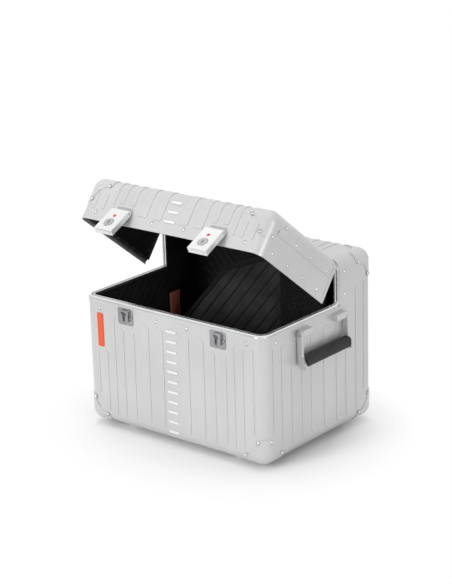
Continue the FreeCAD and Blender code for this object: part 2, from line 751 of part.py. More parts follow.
# Handles on both sides
handles = {}
handle_fixed = {}
pivot_x = half + handle_axis_out
for label in ("right", "left"):
    fixed = []
    turned = []
    screws = []
    flip = mirror_x if label == "left" else (lambda s: s)
    for s in (-1, 1):
        centre = handle_y + s * bracket_spacing / 2
        y0 = centre - bracket_length / 2
        y1 = centre + bracket_length / 2
        shape = block(half, half + bracket_depth, y0, y1, bracket_low, bracket_high)
        outer_edges = [e for e in along(shape, V(0, 1, 0)) if e.Vertexes[0].Point.x > half + 1]
        shape = shape.makeFillet(bracket_edge, outer_edges)
        end = y0 if s < 0 else y1
        arm_near = end + s * arm_gap
        arm_far = arm_near + s * arm
        a0 = min(arm_near, arm_far)
        section = [(handle_axis_out - arm_top_radius, handle_axis_z),
                   (handle_axis_out + arm_top_radius, handle_axis_z),
                   (arm_waist, grip_high + 3), (arm_flare, grip_high - 9), (grip_out + 0.4, grip_low + 3.5),
                   (grip_out + 0.4, grip_low + 1), (arm_flare, grip_low - 2), (grip_in + 1.5, grip_low + 0.5),
                   (grip_in - 2.6, grip_low + 7), (grip_in - 3.6, grip_high - 3)]
        outline = [V(half + out, a0, z) for out, z in section]
        plate = Part.Face(Part.makePolygon(outline + outline[:1])).extrude(V(0, arm, 0))
        plate = plate.fuse(drum(arm_top_radius, arm, V(pivot_x, a0, handle_axis_z),
                                V(0, 1, 0))).removeSplitter()
        hole = drum(screw_radius + screw_clearance, arm + 4, V(pivot_x, a0 - 2, handle_axis_z), V(0, 1, 0))
        turned.append(flip(plate.cut(hole)))
        far = end - s * screw_depth
        well = drum(screw_radius, screw_depth + 1, V(pivot_x, far, handle_axis_z), V(0, s, 0))
        fixed.append(flip(shape.cut(well)))
        reach = screw_depth + arm_gap + arm + screw_head_gap
        shank = drum(screw_radius, reach, V(pivot_x, far, handle_axis_z), V(0, s, 0))
        head = drum(screw_head_radius, screw_head, V(pivot_x, far + s * reach, handle_axis_z), V(0, s, 0))
        top = far + s * (reach + screw_head)
        slot = block(pivot_x - screw_head_radius, pivot_x + screw_head_radius, top - screw_slot / 2,
                     top + screw_slot / 2, handle_axis_z - screw_slot / 2, handle_axis_z + screw_slot / 2)
        screws.append(fuse([shank, head]).cut(slot))
    handles["%s_handle_arms" % label] = Part.makeCompound(turned)
    handle_fixed["%s_handle_brackets" % label] = Part.makeCompound(fixed)
    handle_fixed["%s_handle_screws" % label] = Part.makeCompound([flip(s) for s in screws])
    g0 = handle_y - bracket_spacing / 2 - bracket_length / 2 - arm_gap
    g1 = handle_y + bracket_spacing / 2 + bracket_length / 2 + arm_gap
    grip = block(half + grip_in, half + grip_out, g0, g1, grip_low, grip_high)
    outer_edges = [e for e in along(grip, V(0, 1, 0)) if e.Vertexes[0].Point.x > half + grip_in + 1]
    grip = grip.makeFillet(grip_round, outer_edges)
    inner_edges = [e for e in along(grip, V(0, 1, 0)) if e.Vertexes[0].Point.x < half + grip_in + 1e-3]
    grip = grip.makeFillet(grip_back_round, inner_edges)
    handles["%s_handle_grip" % label] = flip(grip)

# Linings: quilted padding inside the sheets, with sewn channels
pad_outer = rounded_case(-lining_off)
pad_inner = rounded_case(-lining_off - lining)
pad_shell = pad_outer.cut(pad_inner)
body_pad_zone = fuse([block(-big, big, -big, big, -big, rim_height - closing_gap),
                      block(-big, big, tower_front + closing_gap, big, -big, big)])
body_pad = pad_shell.common(body_pad_zone)
lid_pad_zone = block(-big, big, -big, rear_ledge - web - closing_gap, lid_ledge + web + closing_gap,
                     big)
lid_pad = pad_shell.common(lid_pad_zone)


def slanted_cuts(pitch, count, plane, at, rise):
    """Sewn channels: slanted bars sunk into one face of the padding."""
    bars = []
    for i in range(-count, count + 1):
        if plane == "x":
            bar = block(at - stitch_depth, at + stitch_depth, -big, big, -stitch_width / 2, stitch_width / 2)
            bar.rotate(V(0, 0, 0), V(1, 0, 0), rise)
            bar.translate(V(0, half_depth + i * pitch, case_height / 2))
        else:
            bar = block(-big, big, at - stitch_depth, at + stitch_depth, -stitch_width / 2, stitch_width / 2)
            bar.rotate(V(0, at, 0), V(0, 1, 0), -rise)
            bar.translate(V(i * pitch, 0, case_height / 2))
        bars.append(bar)
    return Part.makeCompound(bars)


pad_in = lining_off + lining
stitch_count = int((case_width + case_height) / stitch_pitch / 2)
middle = block(-flat_half, flat_half, -big, big, -big, big)
rear_cuts = slanted_cuts(stitch_pitch, stitch_count, "y", case_depth - pad_in, -stitch_slope)
left_cuts = slanted_cuts(stitch_pitch, stitch_count, "x", -half + pad_in, stitch_slope)
right_end = block(flat_half, big, -big, big, -big, big)
left_end = block(-big, -flat_half, -big, big, -big, big)
pieces["lining_wrap"] = body_pad.common(middle).cut(rear_cuts)
pieces["lining_left"] = body_pad.common(left_end).cut(left_cuts)
pieces["lining_right"] = mirror_x(pieces["lining_left"])
lid["lid_lining_wrap"] = lid_pad.common(middle)
lid["lid_lining_left"] = lid_pad.common(left_end).cut(left_cuts)
lid["lid_lining_right"] = mirror_x(lid["lid_lining_left"])

# Divider at the front of the tower
divider_poly = [V(x, divider_y, z) for x, z in divider_outline]
panel = Part.Face(Part.makePolygon(divider_poly + divider_poly[:1])).extrude(V(0, divider, 0))
divider_cuts = slanted_cuts(divider_pitch, stitch_count, "y", divider_y, divider_slope)
pieces["divider_panel"] = panel.common(block(-big, divider_split, -big, big, -big, big)).cut(divider_cuts)
pieces["divider_pocket"] = panel.common(block(divider_split, big, -big, big, -big, big))
strips = []
for (xa, za), (xb, zb) in zip(divider_outline[1:4], divider_outline[2:5]):
    length = math.hypot(xb - xa, zb - za)
    ux = (xb - xa) / length
    uz = (zb - za) / length
    quad = [V(xa, 0, za), V(xb, 0, zb), V(xb + uz * binding_width, 0, zb - ux * binding_width),
            V(xa + uz * binding_width, 0, za - ux * binding_width)]
    face = Part.Face(Part.makePolygon(quad + quad[:1])).extrude(V(0, binding_proud, 0))
    face.translate(V(0, divider_y - binding_proud, 0))
    strips.append(face)
pieces["divider_binding"] = fuse(strips)

# Leather tab on a webbing loop on the left wall
wall_x = -half + pad_in
tab_mid = tab_y0 + tab_width / 2
tab = block(wall_x + tab_off, wall_x + tab_off + tab_thick, tab_y0, tab_y0 + tab_width, tab_low, tab_high)
tab = tab.makeFillet(tab_corner, [e for e in along(tab, V(1, 0, 0)) if e.Vertexes[0].Point.z < tab_low + 1])
pieces["leather_tab"] = tab
loop_pts = [V(0, tab_y0 + 1, tab_high - loop_lap), V(0, tab_y0 + tab_width - 1, tab_high - loop_lap),
            V(0, tab_mid + loop_top / 2, tab_high + loop_rise),
            V(0, tab_mid - loop_top / 2, tab_high + loop_rise)]
loop = Part.Face(Part.makePolygon(loop_pts + loop_pts[:1])).extrude(V(loop_thick, 0, 0))
loop.translate(V(wall_x + 0.1, 0, 0))
pieces["tab_webbing"] = loop

# Pose: levers swing out on the lid, then the lid swings up on the hinge
lock_turn_centre = V(0, lock_axis_y, lock_axis_z)
for group in (levers, buttons, keys):
    for name, shape in group.items():
        shape.rotate(lock_turn_centre, V(-1, 0, 0), lever_open_deg)
        lid[name] = shape
for name, shape in lid.items():
    shape.rotate(V(0, axis_y, axis_z), V(-1, 0, 0), lid_open_deg)
    pieces[name] = shape
pieces.update(handles)
pieces.update(handle_fixed)

# Place the part: bottom of the feet at zero, bounding box centred in plan
whole = Part.makeCompound(list(pieces.values())).optimalBoundingBox(True, False)
shift = V(0, -(whole.YMin + whole.YMax) / 2, foot_height)
for name, shape in pieces.items():
    shape.translate(shift)
    shape.exportStep("parts/%s.step" % name)
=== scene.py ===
import bpy
import math
from mathutils import Matrix, Vector


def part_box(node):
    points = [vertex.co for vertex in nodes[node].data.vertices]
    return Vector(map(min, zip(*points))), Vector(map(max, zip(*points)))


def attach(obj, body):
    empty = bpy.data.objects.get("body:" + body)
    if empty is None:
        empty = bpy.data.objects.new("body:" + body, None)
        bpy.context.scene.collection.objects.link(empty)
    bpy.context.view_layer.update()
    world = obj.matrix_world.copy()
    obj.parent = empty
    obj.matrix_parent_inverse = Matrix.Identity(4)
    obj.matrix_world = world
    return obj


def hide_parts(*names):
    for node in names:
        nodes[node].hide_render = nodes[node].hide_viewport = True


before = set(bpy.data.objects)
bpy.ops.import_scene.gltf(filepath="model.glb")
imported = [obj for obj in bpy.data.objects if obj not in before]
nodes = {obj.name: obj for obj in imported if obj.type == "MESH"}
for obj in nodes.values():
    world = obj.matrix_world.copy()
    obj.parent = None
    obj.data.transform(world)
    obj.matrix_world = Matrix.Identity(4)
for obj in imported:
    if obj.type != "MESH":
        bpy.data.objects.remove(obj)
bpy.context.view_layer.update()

# Sizes of the case, in millimetres, in the frame it was drawn in:
# x along the front, y from the front face to the rear, z up from the shell bottom
MM = 0.001
CASE_W = 400.0
CASE_D = 309.0
CASE_H = 309.0
EDGE_R = 20.0
RIM = 228.0
TOWER = 212.0
MARK = 1.5
FOOT = 9.0
HALF = CASE_W / 2
FLAT = HALF - EDGE_R
MID_Y = CASE_D / 2
MID_Z = CASE_H / 2
LID_DEG = 38.0
HINGE_RISE = 2.7
AXIS_Y = TOWER
AXIS_Z = CASE_H + HINGE_RISE
SHIFT = Vector((0.0, (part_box("body_wrap_sheet")[0][1] / MM) + MARK, FOOT))


def place(p):
    """Point of the drawing, in millimetres, as a point of the row frame, in metres."""
    return ((p[0] + SHIFT.x) * MM, (p[1] + SHIFT.y) * MM, (p[2] + SHIFT.z) * MM)


def with_lid(p):
    """Point of the closed lid, carried to the open lid."""
    t = math.radians(LID_DEG)
    y = p[1] - AXIS_Y
    z = p[2] - AXIS_Z
    return (p[0], AXIS_Y + y * math.cos(t) + z * math.sin(t), AXIS_Z - y * math.sin(t) + z * math.cos(t))


def turned_with_lid(direction):
    """Direction on the closed lid, turned as the open lid is."""
    return Vector(with_lid(direction)) - Vector(with_lid((0.0, 0.0, 0.0)))


# Shader helpers
MIX_A = 6
MIX_B = 7
MIX_RESULT = 2
BEVEL_SAMPLES = 4


def set_inputs(node, values):
    """Sets inputs of a node by their names."""
    for name, value in values.items():
        node.inputs[name].default_value = value


def new_material(name):
    """Empty principled material, with its object coordinates in metres."""
    mat = bpy.data.materials.new(name)
    mat.use_nodes = True
    tree = mat.node_tree
    tree.nodes.clear()
    out = tree.nodes.new("ShaderNodeOutputMaterial")
    bsdf = tree.nodes.new("ShaderNodeBsdfPrincipled")
    tree.links.new(bsdf.outputs["BSDF"], out.inputs["Surface"])
    coord = tree.nodes.new("ShaderNodeTexCoord").outputs["Object"]
    return mat, tree, bsdf, coord


def node_of(tree, kind):
    """First node of a kind in a material."""
    return next(n for n in tree.nodes if n.type == kind)


def parts_of(mat):
    """Nodes, shader and coordinates of a material made by new_material."""
    tree = mat.node_tree
    return tree, node_of(tree, "BSDF_PRINCIPLED"), node_of(tree, "TEX_COORD").outputs["Object"]


def noise(tree, coord, scale, detail=2.0, rough=0.5):
    node = tree.nodes.new("ShaderNodeTexNoise")
    set_inputs(node, {"Scale": scale, "Detail": detail, "Roughness": rough})
    tree.links.new(coord, node.inputs["Vector"])
    return node.outputs["Fac"]


def ramp(tree, value, low, high, a, b):
    """Value between low and high, turned into one between a and b."""
    node = tree.nodes.new("ShaderNodeMapRange")
    set_inputs(node, {"From Min": low, "From Max": high, "To Min": a, "To Max": b})
    tree.links.new(value, node.inputs["Value"])
    return node.outputs["Result"]


def compute(tree, operation, *values):
    """Math node on numbers and on other nodes' outputs."""
    node = tree.nodes.new("ShaderNodeMath")
    node.operation = operation
    for socket, value in zip(node.inputs, values):
        if isinstance(value, float):
            socket.default_value = value
        else:
            tree.links.new(value, socket)
    return node.outputs[0]


def mix_colour(tree, fac, a, b):
    """Passes from a, a colour or another node's output, to the colour b."""
    node = tree.nodes.new("ShaderNodeMix")
    node.data_type = "RGBA"
    tree.links.new(fac, node.inputs[0])
    if isinstance(a, tuple):
        node.inputs[MIX_A].default_value = (*a, 1.0)
    else:
        tree.links.new(a, node.inputs[MIX_A])
    node.inputs[MIX_B].default_value = (*b, 1.0)
    return node.outputs[MIX_RESULT]


def lay_over(tree, bsdf, fac, colour):
    """Lays a colour over a material's own colour where fac is 1."""
    own = bsdf.inputs["Base Color"].links[0].from_socket
    tree.links.new(mix_colour(tree, fac, own, colour), bsdf.inputs["Base Color"])


def distance_along(tree, coord, direction):
    """Distance along a direction from the row frame's origin, in millimetres."""
    node = tree.nodes.new("ShaderNodeVectorMath")
    node.operation = "DOT_PRODUCT"
    node.inputs[1].default_value = Vector(direction) / MM
    tree.links.new(coord, node.inputs[0])
    return node.outputs["Value"]


def add_relief(tree, bsdf, height, strength, depth, edge=None):
    """Fine relief of a surface, on edges that are softened where a radius is given."""
    bump = tree.nodes.new("ShaderNodeBump")
    set_inputs(bump, {"Strength": strength, "Distance": depth})
    tree.links.new(height, bump.inputs["Height"])
    if edge is not None:
        bevel = tree.nodes.new("ShaderNodeBevel")
        bevel.samples = BEVEL_SAMPLES
        bevel.inputs["Radius"].default_value = edge
        tree.links.new(bevel.outputs["Normal"], bump.inputs["Normal"])
    tree.links.new(bump.outputs["Normal"], bsdf.inputs["Normal"])


# Kinds of material
METAL_GRAIN = 0.00003
# Painted highlight on the pressed marks: a lighter colour where they stand proud of the sheet.
MARK_HIGHLIGHT_DEPTH = 1.05
MARK_HIGHLIGHT_EASE = 0.2
MARK_HIGHLIGHT_COLOUR = (0.86, 0.86, 0.86)
PORE_DEPTH = 0.0003
# Near-black colour painted as shade into the sunk seams of the quilting.
SEAM_SHADE_COLOUR = (0.001, 0.001, 0.001)
THREAD_COLOUR = (0.016, 0.016, 0.017)
HALF_STITCH = 2.2
LINE_CORE = 0.8
LINE_EDGE = 1.6
THREAD_CORE = 0.25
THREAD_EDGE = 0.5
DASH_END = 0.5
DASH_FULL = 0.8
NOISE_LOW = 0.3
NOISE_HIGH = 0.7


def metal(name, dark, light, metallic, rough, edge, grain=1500.0):
    """Satin or polished metal: fine grain, uneven sheen, softened edges."""
    mat, tree, bsdf, coord = new_material(name)
    fine = noise(tree, coord, scale=grain)
    cloud = noise(tree, coord, scale=9.0, detail=3.0)
    shade = mix_colour(tree, ramp(tree, cloud, 0.35, 0.65, 0.0, 1.0), dark, light)
    tree.links.new(shade, bsdf.inputs["Base Color"])
    uneven = ramp(tree, fine, NOISE_LOW, NOISE_HIGH, rough - 0.05, rough + 0.06)
    tree.links.new(uneven, bsdf.inputs["Roughness"])
    bsdf.inputs["Metallic"].default_value = metallic
    add_relief(tree, bsdf, fine, 0.25, METAL_GRAIN, edge)
    return mat


def moulded(name, dark, light, rough, grain, depth, edge=0.0008, coat=0.0, shine=0.5):
    """Moulded plastic or rubber with a fine grain."""
    mat, tree, bsdf, coord = new_material(name)
    fine = noise(tree, coord, scale=grain, detail=3.0, rough=0.6)
    cloud = noise(tree, coord, scale=30.0)
    tree.links.new(mix_colour(tree, cloud, dark, light), bsdf.inputs["Base Color"])
    uneven = ramp(tree, fine, NOISE_LOW, NOISE_HIGH, rough - 0.06, rough + 0.06)
    tree.links.new(uneven, bsdf.inputs["Roughness"])
    set_inputs(bsdf, {"Coat Weight": coat, "Specular IOR Level": shine})
    add_relief(tree, bsdf, fine, 0.5, depth, edge)
    return mat


def woven(name, dark, light, rough, thread_mm, depth, sheen):
    """Woven cloth: crossing threads from two wave textures, worn a little unevenly."""
    mat, tree, bsdf, coord = new_material(name)
    threads = []
    for direction in ("DIAGONAL", "Z"):
        wave = tree.nodes.new("ShaderNodeTexWave")
        wave.wave_type = "BANDS"
        wave.bands_direction = direction
        set_inputs(wave, {"Scale": 0.5 / (thread_mm * MM), "Distortion": 0.6, "Detail": 1.0})
        tree.links.new(coord, wave.inputs["Vector"])
        threads.append(wave.outputs["Fac"])
    cross = compute(tree, "MULTIPLY", *threads)
    cloud = noise(tree, coord, scale=22.0, detail=4.0)
    wear = ramp(tree, cloud, NOISE_LOW, NOISE_HIGH, 0.0, 0.5)
    worn = compute(tree, "MULTIPLY_ADD", cross, 0.5, wear)
    tree.links.new(mix_colour(tree, worn, dark, light), bsdf.inputs["Base Color"])
    set_inputs(bsdf, {"Roughness": rough, "Specular IOR Level": 0.2})
    set_inputs(bsdf, {"Sheen Weight": sheen, "Sheen Roughness": 0.4})
    add_relief(tree, bsdf, cross, 0.6, depth)
    return mat


def hide(name, dark, light, rough, pore):
    """Grained leather: cells for the pores and a soft cloud of colour."""
    mat, tree, bsdf, coord = new_material(name)
    cell = tree.nodes.new("ShaderNodeTexVoronoi")
    cell.inputs["Scale"].default_value = pore
    tree.links.new(coord, cell.inputs["Vector"])
    cloud = noise(tree, coord, scale=60.0, detail=4.0)
    tree.links.new(mix_colour(tree, cloud, dark, light), bsdf.inputs["Base Color"])
    bsdf.inputs["Roughness"].default_value = rough
    add_relief(tree, bsdf, cell.outputs["Distance"], 0.4, PORE_DEPTH)
    return mat


def paint_mark_highlight(mat, normal, start):
    """Paints a highlight on what stands out past a plane: the pressed marks in front of the ribs are
    coloured lighter, as if they caught the light.
    """
    tree, bsdf, coord = parts_of(mat)
    level = Vector(normal).dot(Vector(start) + SHIFT)
    highlight_mask = ramp(tree, distance_along(tree, coord, normal), level, level + MARK_HIGHLIGHT_EASE, 0.0, 1.0)
    lay_over(tree, bsdf, highlight_mask, MARK_HIGHLIGHT_COLOUR)


def speckled(mat, scale, colour):
    """Pale nap that shows as fine specks."""
    tree, bsdf, coord = parts_of(mat)
    specks = noise(tree, coord, scale=scale, detail=1.0)
    lay_over(tree, bsdf, ramp(tree, specks, 0.56, 0.70, 0.0, 1.0), colour)


def quilted(name, across, along, origin, pitch, dark, light):
    """Padded cloth with sewn seams: painted shade darkens each sunk seam line, with thread dashes at every
    pitch across the wall.
    """
    mat = woven(name, dark, light, rough=0.58, thread_mm=0.7, depth=0.00012, sheen=0.1)
    tree, bsdf, coord = parts_of(mat)

    def from_nearest(direction, half):
        """Distance from the nearest line of a row of lines, which lie two halves apart."""
        start = direction.dot(Vector(origin) + SHIFT)
        away = compute(tree, "SUBTRACT", distance_along(tree, coord, direction), start)
        return compute(tree, "PINGPONG", away, half)

    seam = from_nearest(across, pitch / 2)
    stitch = from_nearest(along, HALF_STITCH)
    seam_shade = ramp(tree, seam, LINE_CORE, LINE_EDGE, 1.0, 0.0)
    thread = ramp(tree, seam, THREAD_CORE, THREAD_EDGE, 1.0, 0.0)
    dash = ramp(tree, stitch, DASH_END, DASH_FULL, 0.0, 1.0)
    # Painted shade: the sunk seam lines are coloured near black.
    lay_over(tree, bsdf, seam_shade, SEAM_SHADE_COLOUR)
    lay_over(tree, bsdf, compute(tree, "MULTIPLY", thread, dash), THREAD_COLOUR)
    return mat


# Materials of the case
SATIN = ((0.58, 0.58, 0.585), (0.62, 0.62, 0.625), 0.45)
SHEET = metal("satin_sheet", *SATIN, rough=0.34, edge=0.0009)
PROFILE = metal("bright_profile", (0.74, 0.745, 0.75), (0.80, 0.805, 0.81), 0.95, rough=0.22, edge=0.0004)
LID_SHEET = metal("lid_sheet", *SATIN, rough=0.34, edge=0.0009)
OUT = (0.0, -1.0, 0.0)
MARK_HIGHLIGHT_START = (0.0, -MARK_HIGHLIGHT_DEPTH, 0.0)
# Painted highlight: the marks on the body and lid sheets are coloured lighter than the sheet.
paint_mark_highlight(SHEET, OUT, MARK_HIGHLIGHT_START)
paint_mark_highlight(LID_SHEET, turned_with_lid(OUT), with_lid(MARK_HIGHLIGHT_START))
CAP = metal("pressed_cap", *SATIN, rough=0.31, edge=0.0006)
BRACKET = metal("handle_metal", *SATIN, rough=0.32, edge=0.0008)
RIVET = metal("rivet_metal", (0.50, 0.50, 0.51), (0.58, 0.58, 0.59), 1.0, rough=0.2, edge=0.0003)
# Painted reflection: the chrome's base colour is made dark to stand in for the dark surroundings it would
# mirror.
CHROME_PAINTED_DARK = metal("chrome_painted_dark", (0.30, 0.30, 0.31), (0.42, 0.42, 0.43), 1.0, rough=0.12, edge=0.0005, grain=400.0)
LOCK = metal("lock_silver", (0.76, 0.76, 0.76), (0.81, 0.81, 0.81), 0.45, rough=0.32, edge=0.0008)
STEEL = metal("steel", (0.40, 0.40, 0.41), (0.52, 0.52, 0.53), 1.0, rough=0.28, edge=0.0003)
KEY = metal("key_metal", (0.52, 0.52, 0.53), (0.62, 0.62, 0.63), 1.0, rough=0.2, edge=0.0003)
RUBBER = moulded("black_rubber", (0.010, 0.010, 0.011), (0.020, 0.020, 0.021), 0.55, 1800.0, 0.00005)
FOOT_GREY = moulded("foot_rubber", (0.52, 0.53, 0.54), (0.60, 0.61, 0.62), 0.6, 1500.0, 0.00008)
GRIP = moulded("grip_plastic", (0.012, 0.012, 0.013), (0.024, 0.024, 0.026), 0.48, 1300.0, 0.00012,
               edge=0.0015, shine=0.25)
BADGE = moulded("badge_orange", (0.72, 0.085, 0.020), (0.80, 0.11, 0.028), 0.42, 900.0, 0.00003, edge=0.0006)
RED = moulded("index_red", (0.62, 0.03, 0.03), (0.72, 0.06, 0.05), 0.25, 900.0, 0.00002,
              edge=0.0003, coat=0.5)
VELOUR = woven("pocket_velour", (0.002, 0.002, 0.002), (0.006, 0.006, 0.0065), 0.9, 0.5, 0.0002, 0.05)
speckled(VELOUR, 900.0, (0.045, 0.045, 0.047))
TAPE = woven("binding_tape", (0.004, 0.004, 0.004), (0.014, 0.014, 0.015), 0.7, 0.9, 0.00015, 0.1)
LEATHER = hide("tab_leather", (0.64, 0.18, 0.10), (0.74, 0.23, 0.13), 0.5, 900.0)
THREAD = woven("thread", (0.30, 0.30, 0.30), (0.45, 0.45, 0.45), 0.6, 0.25, 0.00008, 0.2)
CLOTH_DARK = (0.006, 0.006, 0.0065)
CLOTH_LIGHT = (0.032, 0.032, 0.033)
DIV_LIGHT = (0.068, 0.068, 0.070)


def finish_for(name):
    """Material of a CAD node, from the words of its name."""
    if name in ("lock_keepers", "keeper_rivets"):
        return CHROME_PAINTED_DARK
    if "rivets" in name:
        return RIVET
    if "corner_caps" in name:
        return CAP
    if name in ("hinge_pin", "lock_pins", "lock_brackets") or name.endswith("_screws"):
        return STEEL
    if name == "lid_gaskets":
        return RUBBER
    if name == "feet":
        return FOOT_GREY
    if name.endswith("_grip"):
        return GRIP
    if name == "front_badge":
        return BADGE
    if name.endswith("_dot"):
        return RED
    if name.endswith("_key"):
        return KEY
    if name.startswith("lock_"):
        return LOCK
    if "handle" in name:
        return BRACKET
    if "profile" in name or "frame" in name or "hinge" in name:
        return PROFILE
    if name.startswith("lid_"):
        return LID_SHEET
    return SHEET


for node_name, node in nodes.items():
    for slot in node.material_slots:
        slot.material = finish_for(node_name)


# Mesh helpers
def make_object(name, verts, faces, mat, body):
    """Smooth piece from points of the drawing, riding on a body."""
    mesh = bpy.data.meshes.new(name)
    mesh.from_pydata([place(v) for v in verts], [], faces)
    mesh.update()
    for poly in mesh.polygons:
        poly.use_smooth = True
    mesh.materials.append(mat)
    obj = bpy.data.objects.new(name, mesh)
    bpy.context.scene.collection.objects.link(obj)
    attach(obj, body)
    return obj


def solid_grid(points, outward, thick, keep=None):
    """Closed skin from a grid of points: the front as given, the back moved outward by a thickness."""
    rows = len(points)
    cols = len(points[0])
    verts = [p for row in points for p in row]
    back = len(verts)
    directions = [d for row in outward for d in row]
    verts += [tuple(p[k] + d[k] * thick for k in range(3)) for p, d in zip(verts, directions)]
    faces = []
    used = {}
    for i in range(rows - 1):
        for j in range(cols - 1):
            if keep is not None and not keep(i, j):
                continue
            here = i * cols + j
            q = (here, here + 1, here + cols + 1, here + cols)
            faces.append(q)
            faces.append(tuple(back + k for k in reversed(q)))
            for a, b in ((q[0], q[1]), (q[1], q[2]), (q[2], q[3]), (q[3], q[0])):
                used[(a, b)] = True
    for a, b in used:
        if (b, a) not in used:
            faces.append((b, a, back + a, back + b))
    return verts, faces


def compact(verts, faces):
    """Drops points that no face uses."""
    keep = sorted({k for f in faces for k in f})
    new = {k: n for n, k in enumerate(keep)}
    return [verts[k] for k in keep], [tuple(new[k] for k in f) for f in faces]


def turned(faces):
    """Faces that look the other way."""
    return [tuple(reversed(f)) for f in faces]


def spread(a, b, step):
    """Even values from a to b, about a step apart."""
    n = max(2, int(round((b - a) / step)))
    return [a + (b - a) * i / n for i in range(n + 1)]


# Quilted padding, with slanted seams
PAD_IN = 6.7
PAD_R = EDGE_R - PAD_IN
PAD_GAP = 0.4
PAD_SKIN = 1.6
PAD_LOW = PAD_IN
PAD_REAR = CASE_D - PAD_IN
PAD_TOP = CASE_H - PAD_IN
RIM_PAD = RIM - PAD_GAP
TOWER_PAD = TOWER + PAD_GAP
LID_PAD_LOW = 238.2
LID_PAD_REAR = 202.0
GROOVE_DEEP = 1.9
GROOVE_WIDE = 2.2
PUFF = 1.0
BEND_RISE = 0.6
WALL_PITCH = 40.0
WALL_SLOPE = 48.0
WRAP_SLOPE = 180.0 - WALL_SLOPE
DIV_PITCH = 25.0
DIV_SLOPE = 50.0
STEP = 2.2
WRAP_STEP = 2.4
BEND_STEPS = 10


def quilt(u, v, pitch, slope, origin):
    """Height of quilted padding: sunk at slanted seams, a little swollen between them."""
    t = math.radians(slope)
    across = ((u - origin) * math.sin(t) - (v - MID_Z) * math.cos(t)) / (pitch * math.sin(t))
    d = (across - math.floor(across + 0.5)) * pitch * math.sin(t)
    span = pitch * math.sin(t) / 2
    swell = PUFF * (1.0 - (d / span) ** 2)
    return swell - GROOVE_DEEP * math.exp(-(d / GROOVE_WIDE) ** 2)


def seam_vectors(slope, plane):
    """Directions across and along the seams of a wall: plane is the wall's level axis."""
    t = math.radians(slope)
    if plane == "y":
        return Vector((0.0, math.sin(t), -math.cos(t))), Vector((0.0, math.cos(t), math.sin(t)))
    return Vector((math.sin(t), 0.0, -math.cos(t))), Vector((math.cos(t), 0.0, math.sin(t)))


def wall_cloth(name, slope, plane, origin, pitch, on_lid=False, light=CLOTH_LIGHT):
    """Quilted cloth whose sewn lines lie in the seams of one wall."""
    across, along = seam_vectors(slope, plane)
    if on_lid:
        across = turned_with_lid(across)
        along = turned_with_lid(along)
        origin = with_lid(origin)
    return quilted(name, across, along, origin, pitch * math.sin(math.radians(slope)), CLOTH_DARK, light)


SIDE_ORIGIN = (0.0, MID_Y, MID_Z)
WRAP_ORIGIN = (0.0, 0.0, MID_Z)
SIDE_QUILT = wall_cloth("side_quilt", WALL_SLOPE, "y", SIDE_ORIGIN, WALL_PITCH)
REAR_QUILT = wall_cloth("rear_quilt", WRAP_SLOPE, "x", WRAP_ORIGIN, WALL_PITCH)
LID_QUILT = wall_cloth("lid_side_quilt", WALL_SLOPE, "y", SIDE_ORIGIN, WALL_PITCH, on_lid=True)
LID_WRAP_QUILT = wall_cloth("lid_wrap_quilt", WRAP_SLOPE, "x", WRAP_ORIGIN, WALL_PITCH, on_lid=True)
DIV_QUILT = wall_cloth("divider_quilt_cloth", DIV_SLOPE, "x", WRAP_ORIGIN, DIV_PITCH, light=DIV_LIGHT)


def rounded_line(a, b, round_a, round_b):
    """Coordinates from a to b, closer together where the wall bends."""
    bend = [PAD_R * (1 - math.cos(math.radians(90.0 * k / BEND_STEPS))) for k in range(BEND_STEPS)]
    head = []
    tail = []
    low = a
    high = b
    if round_a:
        head = [a + t for t in bend]
        low = a + PAD_R
    if round_b:
        tail = [b - t for t in reversed(bend)]
        high = b - PAD_R
    return head + spread(low, high, STEP) + tail


def dish_point(y, z, bends, side):
    """Point of the rounded side padding over (y, z), its outward direction and its share of quilting."""
    ay = 0.0
    az = 0.0
    if "front" in bends and y < PAD_LOW + PAD_R:
        ay = -(PAD_LOW + PAD_R - y)
    if "rear" in bends and y > PAD_REAR - PAD_R:
        ay = y - (PAD_REAR - PAD_R)
    if "low" in bends and z < PAD_LOW + PAD_R:
        az = -(PAD_LOW + PAD_R - z)
    if "top" in bends and z > PAD_TOP - PAD_R:
        az = z - (PAD_TOP - PAD_R)
    q = math.hypot(ay, az)
    if q > PAD_R:
        y -= ay - ay * PAD_R / q
        z -= az - az * PAD_R / q
        ay, az, q = ay * PAD_R / q, az * PAD_R / q, PAD_R
    rise = math.sqrt(max(0.0, PAD_R ** 2 - q ** 2))
    out = (side * rise / PAD_R, ay / PAD_R, az / PAD_R)
    share = (rise / PAD_R) ** 4
    return (side * (FLAT + rise), y, z), out, share


def side_lining(name, side, ys, zs, bends, drop, body, mat, carry=None):
    """Quilted padding of one side wall, as one moulded and sewn panel."""
    points = []
    outs = []
    for z in zs:
        row = []
        row_outs = []
        for y in ys:
            p, out, share = dish_point(y, z, bends, side)
            h = quilt(y, z, WALL_PITCH, WALL_SLOPE, MID_Y) * share - PUFF
            row.append((p[0] - out[0] * h, p[1] - out[1] * h, p[2] - out[2] * h))
            row_outs.append(out)
        points.append(row)
        outs.append(row_outs)

    def keep(i, j):
        return not drop((ys[j] + ys[j + 1]) / 2, (zs[i] + zs[i + 1]) / 2)

    verts, faces = compact(*solid_grid(points, outs, PAD_SKIN, keep))
    if side > 0:
        faces = turned(faces)
    if carry is not None:
        verts = [carry(v) for v in verts]
    obj = make_object(name, verts, faces, mat, body)
    return obj


def above_rim(y, z):
    """Open part of the side wall, in front of the tower."""
    return y < TOWER_PAD and z > RIM_PAD


def nothing(y, z):
    """For a panel with no part left out."""
    return False


